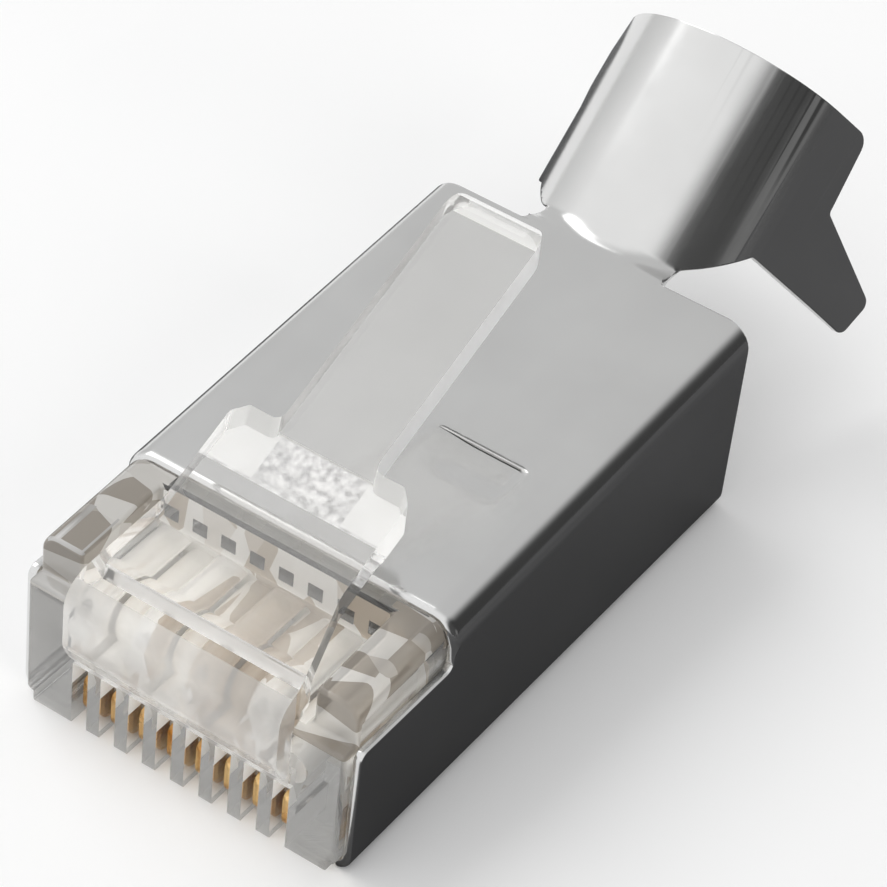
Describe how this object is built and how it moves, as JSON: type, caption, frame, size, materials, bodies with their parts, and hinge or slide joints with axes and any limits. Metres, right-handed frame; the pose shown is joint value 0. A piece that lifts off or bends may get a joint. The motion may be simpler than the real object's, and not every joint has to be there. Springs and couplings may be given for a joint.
{
  "type": "ethernet connector",
  "caption": "Shielded modular plug: clear housing with a sprung latch lever, gold-plated contacts and a wire guide in a folded metal shield with a crimp tail.",
  "frame": {"origin": "middle of the lower edge of the front face", "axes": "+Y from the front face towards the cable, +Z out of the latch side, +X across the plug"},
  "size_m": [0.0122, 0.0318, 0.0121],
  "materials": {
    "clear_plastic": "clear moulded polycarbonate",
    "clear_guide": "clear moulded polycarbonate, slightly cloudy",
    "nickel_plate": "satin nickel plate on folded brass sheet",
    "gold_plate": "gold plate on stamped bronze"
  },
  "bodies": {
    "plug": {"housing": "clear_plastic", "shield": "nickel_plate", "load_bar": "clear_guide", "contact_1": "gold_plate", "contact_2": "gold_plate", "contact_3": "gold_plate", "contact_4": "gold_plate", "contact_5": "gold_plate", "contact_6": "gold_plate", "contact_7": "gold_plate", "contact_8": "gold_plate"},
    "lever": {"latch": "clear_plastic"}
  },
  "joints": [
    {"name": "latch_press", "type": "hinge", "parent": "plug", "child": "lever", "pos_m": [0, 0.00218, 0.00647], "axis": [1, 0, 0], "range_deg": [-14, 0], "stiffness_Nm_per_rad": 0.15}
  ]
}
